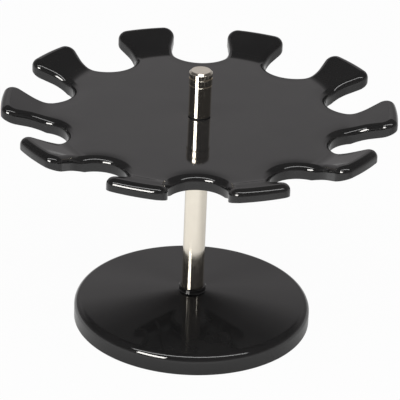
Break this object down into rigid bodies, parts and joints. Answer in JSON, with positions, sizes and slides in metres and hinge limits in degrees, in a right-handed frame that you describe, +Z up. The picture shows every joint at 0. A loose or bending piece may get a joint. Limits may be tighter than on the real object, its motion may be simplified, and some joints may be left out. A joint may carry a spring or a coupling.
{
  "type": "stamp carousel",
  "caption": "Desk stamp carousel: a glossy round plate with upturned arms and round slots turns on a plated post with a grip knob, over a weighted shallow-cone base.",
  "frame": {"origin": "middle of the base on the table, under the four feet", "axes": "+Z up the post's axis; +X to the viewer's right and +Y away from the viewer, through the middle of a slot"},
  "size_m": [0.176, 0.1724, 0.1242],
  "materials": {
    "black_gloss_plastic": "high gloss moulded black",
    "black_matte_plastic": "fine matt moulded black",
    "nickel_plate": "bright nickel plate, faintly drawn lengthways",
    "zinc_steel": "bright zinc plate",
    "ballast_steel": "oiled mild steel plate",
    "bush_plastic": "natural acetal",
    "washer_nylon": "black nylon",
    "foot_rubber": "soft matt rubber"
  },
  "bodies": {
    "base": {"base_shell": "black_gloss_plastic", "ballast_disc": "ballast_steel", "bottom_cover": "black_matte_plastic", "cover_screws": "zinc_steel", "foot_pad_1": "foot_rubber", "foot_pad_2": "foot_rubber", "foot_pad_3": "foot_rubber", "foot_pad_4": "foot_rubber", "tie_rod": "zinc_steel", "hex_nut": "zinc_steel", "lock_washer": "zinc_steel", "flat_washer": "zinc_steel", "post_tube": "nickel_plate", "bearing_collar": "nickel_plate", "lower_thrust_washer": "washer_nylon", "spacer_sleeve": "zinc_steel", "upper_thrust_washer": "washer_nylon", "grip_knob": "nickel_plate"},
    "carousel": {"carousel_plate": "black_gloss_plastic", "hub_bush": "bush_plastic"}
  },
  "joints": [
    {"name": "carousel_spin", "type": "hinge", "parent": "base", "child": "carousel", "pos_m": [0, 0, 0.0942], "axis": [0, 0, 1], "continuous": true}
  ]
}
